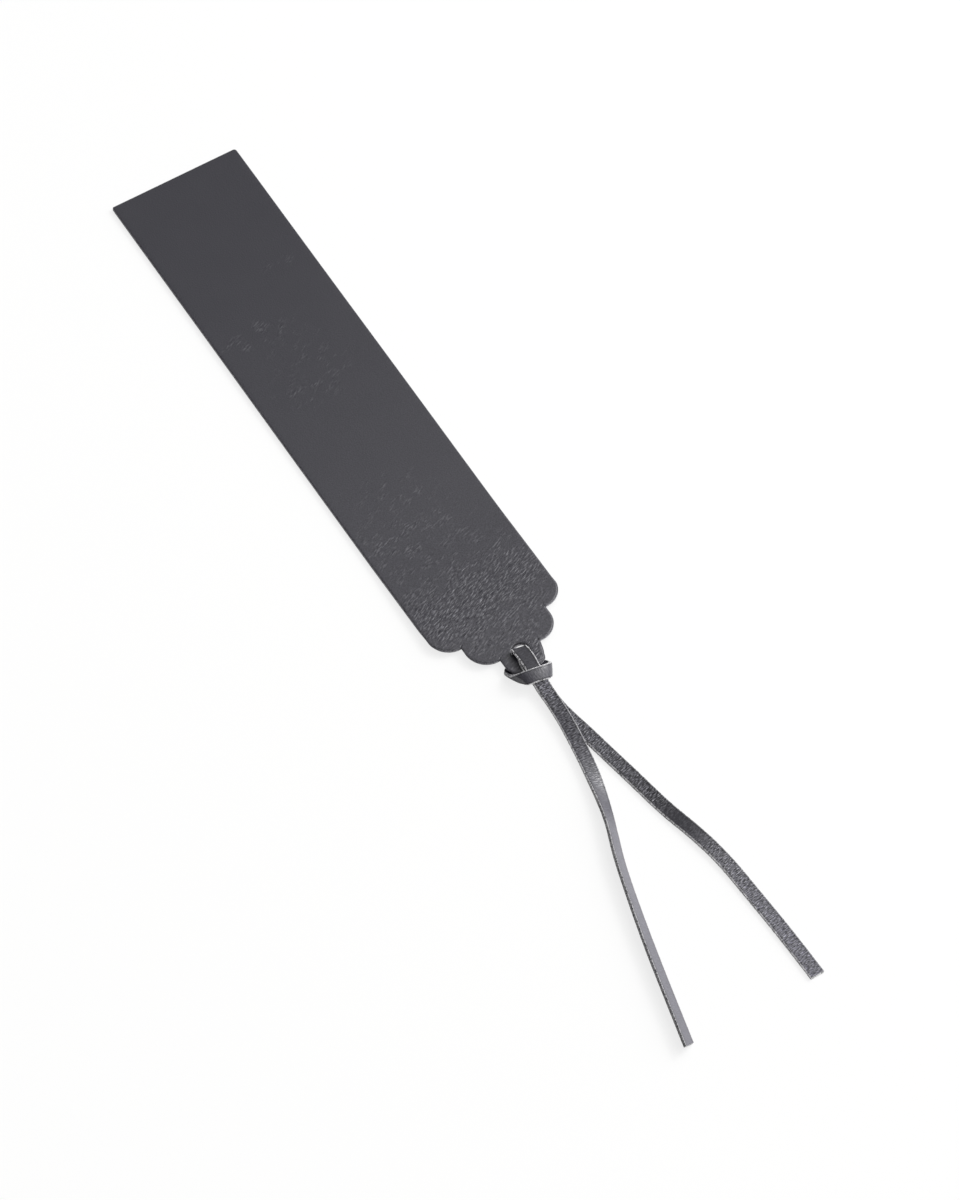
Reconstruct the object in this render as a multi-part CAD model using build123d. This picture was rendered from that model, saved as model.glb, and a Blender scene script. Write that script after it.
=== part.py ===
"""Leather bookmark with a stepped, scalloped end and a flat lace hitched through its hole.

Frame: origin under the middle of the panel, +X across it, +Y along it towards the square
end, +Z up. The panel lies face up on a table, with the lace's two tails beyond its tip.
All lengths are in millimetres.
"""
import math
import os

from build123d import *

# Panel: two plies of leather, bonded and cut to one outline
panel_width = 38.0
panel_length = 186.0
face_thickness = 0.6
back_thickness = 0.6
head_corner_radius = 1.2  # the two corners of the square end

# Scalloped end: two steps on each side, then a round-ended tab
shoulder_width = 25.2
tab_width = 11.9
step_height = 8.3
lobe_radius = 5.8  # the rounded outer corner of each step
hole_diameter = 5.0
hole_to_tip = 8.35

# The panel's low end rides up over the lace behind it
rise_start_to_tip = 50.0
rise_end_to_tip = 22.0
rise_bend_radius = 300.0

# Lace: one flat strip of leather, doubled. Both strands run up the tab's front, one on the other,
# and through the hole, and the bight comes round the tip and holds them, as a lark's head does
lace_width = 4.1
lace_thickness = 0.9
tab_clearance = 0.1  # between the lace and the tab, above and below
strand_gap = 0.05  # between the two strands
strand_above_hole_centre = 0.45  # the outer strand's upright stretch in the hole
front_bend_radius = 0.55  # of the inner strand, where it turns into the hole
rear_bend_radius = 1.0
jog_bend_radius = 2.5
jog_to_tip = 0.8  # beyond the tip the strands step down
jog_drop = 1.0

# Hitch: the bight, a turn of lace round both strands, wide where it cups the tip
hitch_x = -0.55
hitch_height = 4.55
mouth_to_tip = 1.35
mouth_width = 12.0
foot_width = 7.1
mouth_slope = 11.7  # degrees, the upper edge falls towards +X
foot_slope = 7.2
fold_radius = 1.3  # outside of the folds at the hitch's two sides
hitch_gap = 0.1  # between the hitch and the outer strand
back_lap = 0.6  # how far the rear strap runs on before it is trimmed to the hitch

# Tassel: the line about which the tails fold back over the hitch
fold_to_foot = 3.6
fold_clearance = 0.3  # above the hitch
root_gap = 0.15  # between each tail and the end of its strand

# One overrun serves every cut
overrun = 5.0

panel_thickness = face_thickness + back_thickness
tip_y = -panel_length / 2
head_y = panel_length / 2
lower_notch_y = tip_y + step_height
upper_notch_y = lower_notch_y + step_height
hole_y = tip_y + hole_to_tip
tab_radius = tab_width / 2
lift = lace_thickness + tab_clearance

strand_pitch = lace_thickness + strand_gap
inner_z = lift + panel_thickness + tab_clearance + lace_thickness / 2
outer_z = inner_z + strand_pitch
rear_z = lace_thickness / 2
inner_exit_z = inner_z - jog_drop
outer_exit_z = outer_z - jog_drop

mouth_y = tip_y + mouth_to_tip
foot_y = mouth_y - hitch_height
mouth_height = outer_z + lace_thickness / 2 + hitch_gap + lace_thickness
foot_height = outer_exit_z + lace_thickness / 2 + hitch_gap + lace_thickness

flop_y = foot_y - fold_to_foot
flop_z = mouth_height + fold_clearance
stub_end_y = flop_y + root_gap

# Routes of the two tails along their middle lines, chosen from the photograph
left_route = [
    (hitch_x, flop_y, outer_exit_z),
    (-0.65, -103.8, 2.55),
    (-1.1, -109.5, 2.05),
    (-2.0, -116.5, 1.6),
    (-3.3, -124.5, 1.3),
    (-5.0, -132.5, 0.7),
    (-8.0, -142.0, 0.53),
    (-11.6, -152.0, 0.5),
    (-14.9, -164.0, 0.49),
    (-18.5, -178.0, 0.5),
    (-22.0, -193.0, 0.49),
    (-25.4, -208.0, 0.5),
]
right_route = [
    (hitch_x, flop_y, inner_exit_z),
    (-0.45, -102.8, 1.65),
    (0.2, -107.2, 1.15),
    (1.6, -113.5, 0.65),
    (3.2, -122.5, 0.48),
    (5.2, -133.5, 0.49),
    (7.0, -144.5, 0.48),
    (9.8, -155.5, 0.49),
    (11.7, -166.0, 0.48),
    (12.4, -178.0, 0.49),
    (13.2, -192.0, 0.48),
    (13.5, -206.7, 0.49),
]
arc_share = 0.45  # of the shorter run beside each corner of a route


def step(width, low_y, high_y):
    """One step of the panel's outline, with its two lower corners rounded."""
    block = Pos(0, (low_y + high_y) / 2) * Rectangle(width, high_y - low_y)
    return fillet(block.vertices().group_by(Axis.Y)[0], lobe_radius)


def panel_outline():
    """The cut outline of both plies, with the punched hole."""
    body = step(panel_width, upper_notch_y, head_y)
    body = fillet(body.vertices().group_by(Axis.Y)[-1], head_corner_radius)
    shoulder = step(shoulder_width, lower_notch_y, upper_notch_y + lobe_radius)
    round_y = tip_y + tab_radius
    tab_top_y = lower_notch_y + lobe_radius
    tab = Pos(0, (round_y + tab_top_y) / 2) * Rectangle(tab_width, tab_top_y - round_y)
    tip = Pos(0, round_y) * Circle(tab_radius)
    hole = Pos(0, hole_y) * Circle(hole_diameter / 2)
    return body + shoulder + tab + tip - hole


def ply(low, thickness):
    """One ply: the outline, cut from a sheet that rises gently to the scalloped end."""
    line = FilletPolyline(
        (0, head_y + overrun, 0),
        (0, tip_y + rise_start_to_tip, 0),
        (0, tip_y + rise_end_to_tip, lift),
        (0, tip_y - overrun, lift),
        radius=rise_bend_radius,
    )
    end = Plane(origin=(0, head_y + overrun, low + thickness / 2), x_dir=(1, 0, 0), z_dir=(0, -1, 0))
    sheet = sweep(end * Rectangle(panel_width + overrun, thickness), path=line)
    cutter = extrude(panel_outline(), lift + panel_thickness + overrun, both=True)
    return sheet & cutter


def strip(points, radii):
    """A flat strip of lace along straight runs joined by arcs, level across where it starts."""
    line = FilletPolyline(*points, radius=radii)
    across = Vector(0, 0, 1).cross(line % 0)
    start = Plane(origin=points[0], x_dir=across, z_dir=line % 0)
    return line, sweep(start * Rectangle(lace_width, lace_thickness), path=line)


def strand(inset, low_points, low_radii):
    """One strand, inset from the outer one: up the tab's front, then down into the hole."""
    jog_y = tip_y - jog_to_tip
    half_slope = math.atan(jog_drop / (jog_y - foot_y)) / 2
    shift = inset * math.tan(half_slope)
    front_z = outer_z - inset
    upright_y = hole_y + strand_above_hole_centre - inset
    points = [
        (hitch_x, stub_end_y, front_z - jog_drop),
        (hitch_x, foot_y + shift, front_z - jog_drop),
        (0, jog_y + shift, front_z),
        (0, upright_y, front_z),
    ]
    front_radius = front_bend_radius + strand_pitch - inset
    radii = [jog_bend_radius, jog_bend_radius, front_radius]
    below = [(0, upright_y if y is None else y, z) for y, z in low_points]
    return strip(points + below, radii + low_radii)[1]


def outer_strand():
    """The upper strand, which goes on down the tab's back to the hitch."""
    return strand(0, [(None, rear_z), (mouth_y - back_lap, rear_z)], [rear_bend_radius])


def inner_strand():
    """The strand under it, as far as the joint of the two plies in the hole."""
    return strand(strand_pitch, [(None, lift + back_thickness)], [])


def hitch_section(share, wall):
    """The hitch across its axis, inset by a wall: share 0 at its mouth, 1 at its foot."""
    width = mouth_width + (foot_width - mouth_width) * share
    height = mouth_height + (foot_height - mouth_height) * share
    place = Plane(
        origin=(hitch_x, mouth_y - hitch_height * share, height / 2),
        x_dir=(1, 0, 0),
        z_dir=(0, -1, 0),
    )
    return place * RectangleRounded(width - 2 * wall, height - 2 * wall, fold_radius - wall)


def hitch():
    """The turn of lace round both strands, slanted at its mouth and foot."""
    beyond_share = mouth_width / 2 * math.tan(math.radians(mouth_slope)) / hitch_height
    shares = (-beyond_share, 1 + beyond_share)
    turn = loft([hitch_section(share, 0) for share in shares], ruled=True)
    turn -= loft([hitch_section(share, lace_thickness) for share in shares], ruled=True)
    mouth = Plane(origin=(hitch_x, mouth_y, 0)).rotated((0, 0, -mouth_slope))
    foot = Plane(origin=(hitch_x, foot_y, 0)).rotated((0, 0, -foot_slope))
    turn = split(turn, Plane(origin=mouth.origin, z_dir=mouth.y_dir), keep=Keep.BOTTOM)
    return split(turn, Plane(origin=foot.origin, z_dir=foot.y_dir), keep=Keep.TOP)


def corner_radii(points):
    """The largest arcs that the runs beside each corner of a route leave room for."""
    radii = []
    for before, at, after in zip(points, points[1:], points[2:]):
        first = Vector(*at) - Vector(*before)
        second = Vector(*after) - Vector(*at)
        half_turn = math.radians(first.get_angle(second)) / 2
        radii.append(arc_share * min(first.length, second.length) / math.tan(half_turn))
    return radii


def tail(name, points):
    """A free tail of the lace, from the line where it can fold back to its cut end."""
    radii = corner_radii(points)
    line, lace = strip(points, radii)
    section_volume = lace_width * lace_thickness * line.length
    print(name, "length", round(line.length, 2), "radii", [round(radius, 1) for radius in radii])
    print(name, "volume over section times length", round(lace.volume / section_volume, 4))
    return lace


os.makedirs("parts", exist_ok=True)
back_leather = ply(0, back_thickness)
face_leather = ply(back_thickness, face_thickness)
lace_knot = hitch()
lace_loop = outer_strand() - lace_knot
print("hole at", hole_y, "fold line at", flop_y, flop_z)
nodes = {
    "face_leather": face_leather,
    "back_leather": back_leather,
    "lace_loop": lace_loop,
    "lace_under": inner_strand(),
    "lace_knot": lace_knot,
    "left_tail": tail("left_tail", left_route),
    "right_tail": tail("right_tail", right_route),
}
for name, solid in nodes.items():
    export_step(solid, f"parts/{name}.step")
    box = solid.bounding_box()
    print(name, "solids", len(solid.solids()), "volume", round(solid.volume, 2), box.min, box.max)
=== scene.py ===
# %% [markdown]
# # A leather bookmark with a hitched lace
# The bookmark is two plies of dark leather, bonded and cut to one outline. A flat lace is doubled,
# put through the punched hole and hitched as a lark's head, so that two tails hang free.
# The CAD part gives the frame: where each piece is, how large it is and how it moves. Here each piece
# is made again with the soft shapes, the grain and the raw cut edges that solids leave out.
# Lengths on the part are in millimetres, and MM turns them into metres. The studio is in metres.

# %% Load the frame
import math

import bpy
import numpy as np
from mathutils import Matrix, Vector, geometry
from mathutils.kdtree import KDTree


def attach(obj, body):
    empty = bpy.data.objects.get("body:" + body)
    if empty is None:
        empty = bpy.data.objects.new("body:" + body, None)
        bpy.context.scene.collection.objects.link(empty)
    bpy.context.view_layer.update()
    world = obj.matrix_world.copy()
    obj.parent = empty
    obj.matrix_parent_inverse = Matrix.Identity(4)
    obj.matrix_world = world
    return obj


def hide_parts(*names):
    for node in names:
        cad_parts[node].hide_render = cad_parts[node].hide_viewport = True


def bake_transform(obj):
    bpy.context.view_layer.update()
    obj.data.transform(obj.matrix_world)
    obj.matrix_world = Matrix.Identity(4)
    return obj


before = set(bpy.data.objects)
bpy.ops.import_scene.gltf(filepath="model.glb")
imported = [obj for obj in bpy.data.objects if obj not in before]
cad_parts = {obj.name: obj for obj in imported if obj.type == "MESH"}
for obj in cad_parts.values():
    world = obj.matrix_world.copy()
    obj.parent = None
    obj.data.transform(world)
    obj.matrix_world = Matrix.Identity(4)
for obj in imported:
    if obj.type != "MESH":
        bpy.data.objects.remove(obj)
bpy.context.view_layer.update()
scene = bpy.context.scene
MM = 0.001

# %% [markdown]
# ## Camera
# A camera can be placed by eye or solved from known straight lines. The panel's long edges and its
# square end were solved for, so the view is given as a target, two angles, a distance and a long lens.

# %% Camera
view_target = Vector((0.0, -65.1, 0.0)) * MM
view_elevation = math.radians(55.984)
view_azimuth = math.radians(-31.16)
view_distance = 2.2681
towards_camera = Vector((
    math.sin(view_azimuth) * math.cos(view_elevation),
    -math.cos(view_azimuth) * math.cos(view_elevation),
    math.sin(view_elevation),
))
camera_data = bpy.data.cameras.new("studio_camera")
camera_data.sensor_fit = "VERTICAL"
camera_data.sensor_height = 36.0
camera_data.lens = 262.98
camera_data.clip_end = 200.0
camera = bpy.data.objects.new("studio_camera", camera_data)
camera.location = view_target + towards_camera * view_distance
camera.rotation_euler = (-towards_camera).to_track_quat("-Z", "Y").to_euler()
scene.collection.objects.link(camera)
scene.camera = camera
print("camera at", [round(value, 4) for value in camera.location])

# %% [markdown]
# ## Helpers for colours and nodes
# Colours are written as they look on a screen, in hex, and shaders want linear light, so one function
# converts them. Shader trees and geometry trees are both nodes with settings and links, so one small
# function adds a node of either kind. Given a node as an input, it links that node's first output.


# %% Colour and node helpers
def colour(hex_code):
    """A screen colour, such as 4a494e, as linear red, green, blue and alpha."""
    parts = [int(hex_code[i:i + 2], 16) / 255 for i in (0, 2, 4)]
    return [p / 12.92 if p <= 0.04045 else ((p + 0.055) / 1.055) ** 2.4 for p in parts] + [1.0]


def add(tree, kind, inputs=None, **settings):
    """Adds a node, sets its properties, and links or sets its inputs by name or number."""
    made = tree.nodes.new(kind)
    for name, value in settings.items():
        setattr(made, name, value)
    for name, value in (inputs or {}).items():
        if isinstance(value, bpy.types.Node):
            value = value.outputs[0]
        if isinstance(value, bpy.types.NodeSocket):
            tree.links.new(value, made.inputs[name])
        else:
            made.inputs[name].default_value = value
    return made


def new_material(name):
    """A material and its tree, still empty."""
    material = bpy.data.materials.new(name)
    material.use_nodes = True
    material.node_tree.nodes.clear()
    return material, material.node_tree


print("mid grey in linear light", round(colour("808080")[0], 3))

# %% [markdown]
# ## Floor and light
# The photograph was taken on a white sweep with a large soft source on the right, which leaves only a
# faint shadow on the left of everything. A single lamp would cut that shadow too hard. A sky that is
# brighter on one side acts as a very large softbox, and a small lamp adds a little shape. Only the
# camera sees the paper glow, because the photograph's white is blown out. The long lens stands far
# back in the other views, so the floor is very wide.

# %% Floor
floor_half = 30.0
floor_glow = 0.78
floor_mesh = bpy.data.meshes.new("studio_floor")
floor_mesh.from_pydata(
    [(x * floor_half, y * floor_half, 0.0) for x, y in ((-1, -1), (1, -1), (1, 1), (-1, 1))],
    [], [(0, 1, 2, 3)],
)
floor = bpy.data.objects.new("studio_floor", floor_mesh)
scene.collection.objects.link(floor)
paper, tree = new_material("matt white paper")
shader = add(tree, "ShaderNodeBsdfPrincipled", {
    "Base Color": colour("fbfbfa"), "Roughness": 1.0, "Specular IOR Level": 0.0})
seen = add(tree, "ShaderNodeLightPath").outputs["Is Camera Ray"]
glow = add(tree, "ShaderNodeMath", {0: seen, 1: floor_glow}, operation="MULTIPLY")
white = add(tree, "ShaderNodeEmission", {"Color": colour("ffffff"), "Strength": 1.0})
blown = add(tree, "ShaderNodeMixShader", {0: glow, 1: shader, 2: white})
add(tree, "ShaderNodeOutputMaterial", {"Surface": blown})
floor_mesh.materials.append(paper)
print("floor", floor_half * 2, "m wide")

# %% Light
bright_side = Vector((0.75, -0.05, 0.66)).normalized()
sky_base = 0.25
sky_gain = 3.1
sky_focus = 5.0
lamp_distance = 1.2
world = bpy.data.worlds.new("soft_room")
scene.world = world
world.use_nodes = True
tree = world.node_tree
tree.nodes.clear()
seen = add(tree, "ShaderNodeLightPath").outputs["Is Camera Ray"]
towards = add(tree, "ShaderNodeTexCoord").outputs["Generated"]
facing = add(tree, "ShaderNodeVectorMath", {0: towards, 1: bright_side}, operation="DOT_PRODUCT")
facing = add(tree, "ShaderNodeMath", {0: facing.outputs["Value"], 1: 0.0}, operation="MAXIMUM")
lobe = add(tree, "ShaderNodeMath", {0: facing, 1: sky_focus}, operation="POWER")
level = add(tree, "ShaderNodeMath", {0: lobe, 1: sky_gain, 2: sky_base}, operation="MULTIPLY_ADD")
strength = add(tree, "ShaderNodeMix", {"Factor": seen, "A": level, "B": 1.0})
sky = add(tree, "ShaderNodeBackground", {"Color": colour("ffffff"), "Strength": strength})
add(tree, "ShaderNodeOutputWorld", {"Surface": sky})

lamp_data = bpy.data.lights.new("softbox", "AREA")
lamp_data.shape = "DISK"
lamp_data.size = 0.4
lamp_data.energy = 4.5
lamp = bpy.data.objects.new("softbox", lamp_data)
lamp.location = view_target + bright_side * lamp_distance
lamp.rotation_euler = (-bright_side).to_track_quat("-Z", "Y").to_euler()
scene.collection.objects.link(lamp)
scene.view_settings.view_transform = "Standard"
print("lamp", round((lamp.location - view_target).length, 2), "m away")

# %% [markdown]
# ## Panel leather
# The panel is smooth calf leather, dyed through and plated: pressed flat under heat. That gives an
# even charcoal with a satin gloss and very fine pores, and fine creases where the hide was loose.
# A picture could be used, but a few noises at real sizes stay sharp and follow any cut. The raw cut
# edge is the same hide without its finish, so it is paler and fibrous. The mesh says where it is with
# an attribute named cut, and how its relief stands with one named relief.

# %% Panel leather
mottle_size = 11.0
mottle_gain = 0.24
# Painted reflection: the face grows paler towards the tab end, where it reflects the soft light.
dark_end_y = 93.0
pale_end_y = -75.0
reflection_ramp_power = 1.5
pore_depth = 0.03
fibre_size = 0.4
fibre_limits = (0.36, 0.54)
raw_roughness = 0.9
relief_limit = 0.35
furrow_gloss = 0.1
crest_gloss = 0.9
coat_roughness = 0.25


def leather(name, face_hexes, raw_hexes, roughness, contrast, pore_contrast, pore_size, coat=0.0,
            napped=False):
    """Dyed leather: painted reflection towards one end, painted shade from its relief, paler cut fibres.
    """
    material, tree = new_material(name)
    place = add(tree, "ShaderNodeTexCoord").outputs["Object"]
    cut = add(tree, "ShaderNodeAttribute", attribute_name="cut").outputs["Fac"]
    relief_level = add(tree, "ShaderNodeAttribute", attribute_name="relief").outputs["Fac"]
    mottle, pores, fibres = [
        add(tree, "ShaderNodeTexNoise", {"Vector": place, "Scale": 1 / (size * MM), "Detail": detail})
        for size, detail in ((mottle_size, 4.0), (pore_size, 2.0), (fibre_size, 3.0))]
    uneven = add(tree, "ShaderNodeMath", {0: mottle, 1: mottle_gain, 2: -mottle_gain / 2},
                 operation="MULTIPLY_ADD")
    lengthwise = add(tree, "ShaderNodeSeparateXYZ", {0: place}).outputs["Y"]
    reflection_ramp = add(tree, "ShaderNodeMapRange", {
        "Value": lengthwise, "From Min": dark_end_y * MM, "From Max": pale_end_y * MM})
    reflection_ramp = add(tree, "ShaderNodeMath", {0: reflection_ramp, 1: reflection_ramp_power}, operation="POWER")
    mottle_and_reflection = add(tree, "ShaderNodeMath", {0: reflection_ramp, 1: uneven}, operation="ADD")
    dyed = add(tree, "ShaderNodeMix", {
        "Factor": mottle_and_reflection, "A": colour(face_hexes[0]), "B": colour(face_hexes[1])}, data_type="RGBA")
    speckle = add(tree, "ShaderNodeMath", {0: pores, 1: 0.5}, operation="SUBTRACT")
    pitted = add(tree, "ShaderNodeMath", {0: reflection_ramp, 1: pore_contrast}, operation="MULTIPLY")
    speckle = add(tree, "ShaderNodeMath", {0: speckle, 1: pitted, 2: 1.0}, operation="MULTIPLY_ADD")
    # Painted shade and highlight: the relief darkens the colour in furrows and creases and lightens it on
    # tops and ridges.
    shade = add(tree, "ShaderNodeMath", {0: contrast, 1: relief_level}, operation="POWER")
    shade = add(tree, "ShaderNodeMath", {0: shade, 1: speckle}, operation="MULTIPLY")
    dyed = add(tree, "ShaderNodeHueSaturation", {"Color": dyed.outputs["Result"], "Value": shade})
    spread = add(tree, "ShaderNodeMapRange", {
        "Value": fibres, "From Min": fibre_limits[0], "From Max": fibre_limits[1]})
    raw = add(tree, "ShaderNodeMix", {
        "Factor": spread, "A": colour(raw_hexes[0]), "B": colour(raw_hexes[1])}, data_type="RGBA")
    surface = add(tree, "ShaderNodeMix", {
        "Factor": cut, "A": dyed, "B": raw.outputs["Result"]}, data_type="RGBA")
    matt = add(tree, "ShaderNodeMix", {"Factor": cut, "A": roughness, "B": raw_roughness})
    gloss = add(tree, "ShaderNodeMapRange", {
        "Value": relief_level, "From Min": -relief_limit, "From Max": relief_limit,
        "To Min": furrow_gloss, "To Max": crest_gloss})
    gloss = add(tree, "ShaderNodeMix", {"Factor": cut, "A": gloss, "B": furrow_gloss})
    bumps = add(tree, "ShaderNodeBump", {"Height": pores, "Distance": pore_depth * MM})
    looks = {"Base Color": surface.outputs["Result"], "Roughness": matt, "Normal": bumps,
             "Specular IOR Level": gloss}
    if coat:
        looks["Coat Weight"] = add(tree, "ShaderNodeMapRange", {
            "Value": cut, "To Min": coat, "To Max": 0.0})
        looks["Coat Roughness"] = coat_roughness
    if napped:
        looks["Sheen Weight"] = cut
    shader = add(tree, "ShaderNodeBsdfPrincipled", looks)
    add(tree, "ShaderNodeOutputMaterial", {"Surface": shader})
    return material


# Real pores are 0.1 to 0.2 mm wide. The panel's are drawn at 0.4 mm, because the render shows nothing
# finer than about 0.3 mm.
face_finish = leather(
    "plated calf leather, charcoal", ("2b2a32", "403f45"), ("55545a", "86858a"),
    roughness=0.34, contrast=1.7, pore_contrast=1.6, pore_size=0.4)
back_finish = leather(
    "matt split leather, charcoal", ("2e2d31", "3a393d"), ("8a898e", "b4b3b8"),
    roughness=0.6, contrast=1.0, pore_contrast=0.7, pore_size=0.4)
print("panel finishes", face_finish.name, "and", back_finish.name)

# %% [markdown]
# ## Lace leather
# The lace is a narrow strip cut from softer leather with its own fine pebbled grain, pulled into
# cross ribs by bending. Its two edges and its ends are raw and napped, so they catch the light. Its
# relief is real geometry, made further down, so this finish only adds colour that follows it: painted
# shade in the furrows and painted highlight on the tops, under a thin coat of wax.

# %% Lace leather
lace_finish = leather(
    "pebbled lace leather, charcoal", ("38373f", "3a3941"), ("2e2d31", "fbfafc"),
    roughness=0.28, contrast=6.0, pore_contrast=0.5, pore_size=0.2, coat=0.5, napped=True)
print("lace finish", lace_finish.name)

# %% [markdown]
# ## Panel outline
# The die that cut the panel has a square end with barely rounded corners, two rounded steps on each
# side and a round-ended tab with a hole. Half of it is written down as lines and arcs and mirrored.
# The small slits at the inner corners are where the cutting rules overran. The lace pulls on the tab,
# so its right side leans in and its tip is flattened.

# %% Panel outline
panel_half_width = 19.0
panel_half_length = 93.0
head_radius_right = 0.8
head_radius_left = 0.4
shoulder_half_width = 12.6
tab_half_width = 5.95
upper_notch_y = -76.4
lower_notch_y = -84.7
lobe_radius = 5.8
hole_x = 0.1
hole_y = -85.15
hole_radius = 2.5
slit_width = 0.1
slit_depth = 0.45
tab_lean = 0.17
tab_lean_reach = 4.0
tip_flat_y = -90.0
tip_flatness = 0.43
edge_step = 0.3


def arc(centre, radius, start, end):
    """Points of an arc, angles in degrees."""
    count = max(3, math.ceil(abs(math.radians(end - start)) * radius / edge_step))
    turns = np.radians(np.linspace(start, end, count + 1))
    return [(centre[0] + radius * math.cos(t), centre[1] + radius * math.sin(t)) for t in turns]


def slit(x, y):
    """The overrun of two cutting rules at an inner corner."""
    return [(x + slit_width, y), (x - slit_depth, y + slit_depth), (x, y - slit_width)]


def half_outline(head_radius):
    """The right half of the die, from the middle of the square end to the tip."""
    half = [(0.0, panel_half_length)]
    half += arc((panel_half_width - head_radius, panel_half_length - head_radius), head_radius, 90, 0)
    half += arc((panel_half_width - lobe_radius, upper_notch_y + lobe_radius), lobe_radius, 0, -90)
    half += slit(shoulder_half_width, upper_notch_y)
    half += arc((shoulder_half_width - lobe_radius, lower_notch_y + lobe_radius), lobe_radius, 0, -90)
    half += slit(tab_half_width, lower_notch_y)
    half += arc((0.0, tab_half_width - panel_half_length), tab_half_width, 0, -90)
    return half


corners = half_outline(head_radius_right)
corners += [(-x, y) for x, y in reversed(half_outline(head_radius_left)[1:-1])]
outline = []
for here, after in zip(corners, corners[1:] + corners[:1]):
    pieces = max(1, math.ceil(math.dist(here, after) / edge_step))
    outline += [np.array(here) + (np.array(after) - np.array(here)) * k / pieces for k in range(pieces)]
outline = np.array(outline)
low_share = np.clip((lower_notch_y - outline[:, 1]) / tab_lean_reach, 0, 1) * (outline[:, 0] > 0)
outline[:, 0] *= 1 - tab_lean * low_share
outline[:, 1] += np.clip(tip_flat_y - outline[:, 1], 0, None) * (1 - tip_flatness)
hole_ring = np.array(arc((hole_x, hole_y), hole_radius, 0, 360)[:-1])
print("outline points", len(outline), "hole points", len(hole_ring))

# %% [markdown]
# ## Shape of the panel
# The panel lies in slow waves, and its low end rides up over the lace behind the tab. The hide is
# creased most at that end and in faint patches elsewhere. Each patch is a soft oval, which is simpler
# to move about than a painted map.

# %% Shape of the panel
ply_thickness = 0.6
rise_height = 1.0
rise_start_y = -43.0
rise_end_y = -71.0
rise_ease = 5.36
rise_samples = 400
wave_fade = 20.0
# Height, length along y, length along x and phase of each wave
waves = [(0.05, 13.0, 16.0, 0.0), (0.025, 31.0, -11.0, 1.0)]
# Middle x and y, reach along x and y, and how creased the hide is there
patches = [
    (0, -62, 22, 22, 0.4), (0, 25, 19, 20, 0.27), (-3, -30, 18, 20, 0.28),
    (5.8, -66.4, 8.5, 6, 0.8), (14.5, -64, 5, 5, 0.7), (-1, -60, 6, 5, 0.7),
    (11.6, -56.5, 5.5, 4, 0.5), (-3, -69, 7, 5, 0.6), (-11.5, -66.5, 7, 6, 0.9),
    (-16, -61, 4.5, 7, 0.8), (-15, -70, 4, 4, 0.7), (-8, -77.5, 5.5, 5.5, 0.7),
    (5, -77, 6, 4.5, 0.4), (10.5, -75, 4, 3, 0.5), (0, -82, 4.5, 2.5, 0.6),
    (3.5, -88, 3.5, 5, 2.4), (-4.5, -88, 2.5, 3, 0.8), (-10, 38, 11, 4, 0.24),
    (-6, 13, 13, 5, 0.16), (10, 54.5, 7, 3.5, 0.29), (-13, -40, 5, 8, 0.3),
]
most_creased = 2.4


def rise(y):
    """How far the panel stands off the table at y: it rides up over the lace behind its tab."""
    slope = rise_height / (rise_start_y - rise_end_y)
    first, last = rise_start_y + rise_ease, rise_end_y - rise_ease
    steps = np.linspace(first, last, rise_samples)
    slopes = slope * np.clip((first - steps) / (2 * rise_ease), 0, 1)
    slopes *= np.clip((steps - last) / (2 * rise_ease), 0, 1)
    heights = np.concatenate([[0], np.cumsum((slopes[1:] + slopes[:-1]) / 2 * -np.diff(steps))])
    return np.interp(-y, -steps, heights)


def wave(x, y):
    """The slow unevenness of leather that lies on a table, never below it."""
    flat = np.clip((y - rise_end_y) / wave_fade, 0, 1)
    return flat * sum(height * (1 + np.sin(y / length + x / breadth + phase))
                      for height, length, breadth, phase in waves)


def crease_share(x, y):
    """How creased the hide is, 0 where it is smooth."""
    total = np.zeros_like(x)
    for middle_x, middle_y, reach_x, reach_y, amount in patches:
        total += amount * np.exp(-(((x - middle_x) / reach_x) ** 2 + ((y - middle_y) / reach_y) ** 2))
    return np.clip(total, 0, most_creased)


print("rise at the tab", round(float(rise(np.array([-80.0]))[0]), 3))

# %% [markdown]
# ## Panel mesh
# A plain extrusion would give two flat faces with nothing to bend. A dense triangulation of the
# outline takes rounded edges, the gentle rise over the lace and the creases as real shape. Its points
# stand in rows along the creases, four times closer across them than along them. The rows are
# closest where the hide is creased, a little wider where it is only faintly creased, and far apart
# where it is smooth.

# %% Rows of points
crease_lean = math.radians(23)
crease_turn = np.array([[math.cos(crease_lean), math.sin(crease_lean)],
                        [-math.sin(crease_lean), math.cos(crease_lean)]])
crease_squeeze = np.array([0.25, 1.0])
creased_from = 0.35
faint_from = 0.15
creased_step = 0.105
faint_step = 0.15
smooth_step = 0.5
plain_step = 1.2


def to_lattice(points):
    """Points in the lattice's own axes: along the creases, where it is loose, and across them."""
    return points @ crease_turn.T * crease_squeeze


def from_lattice(points):
    """Points of the lattice back in the panel's axes."""
    return points / crease_squeeze @ crease_turn


def creased_spacing(points):
    """Distance wanted between the face's rows of points: close where the hide is creased."""
    share = crease_share(points[:, 0], points[:, 1])
    return np.select([share > creased_from, share > faint_from], [creased_step, faint_step], smooth_step)


def inside(points, ring):
    """Which points lie within a closed ring."""
    result = np.zeros(len(points), bool)
    for (x0, y0), (x1, y1) in zip(ring, np.roll(ring, -1, axis=0)):
        if y0 != y1:
            crosses = (points[:, 1] < y0) != (points[:, 1] < y1)
            result ^= crosses & (points[:, 0] < x0 + (points[:, 1] - y0) * (x1 - x0) / (y1 - y0))
    return result


edge_tree = KDTree(len(outline) + len(hole_ring))
for index, point in enumerate(np.concatenate([outline, hole_ring])):
    edge_tree.insert((point[0], point[1], 0.0), index)
edge_tree.balance()


def edge_distance(points):
    """Distance of each point from the nearest cut edge."""
    return np.array([edge_tree.find((x, y, 0.0))[2] for x, y in points])


print("middle of the hole to its edge", round(float(edge_distance([(hole_x, hole_y)])[0]), 2), "mm")

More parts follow.
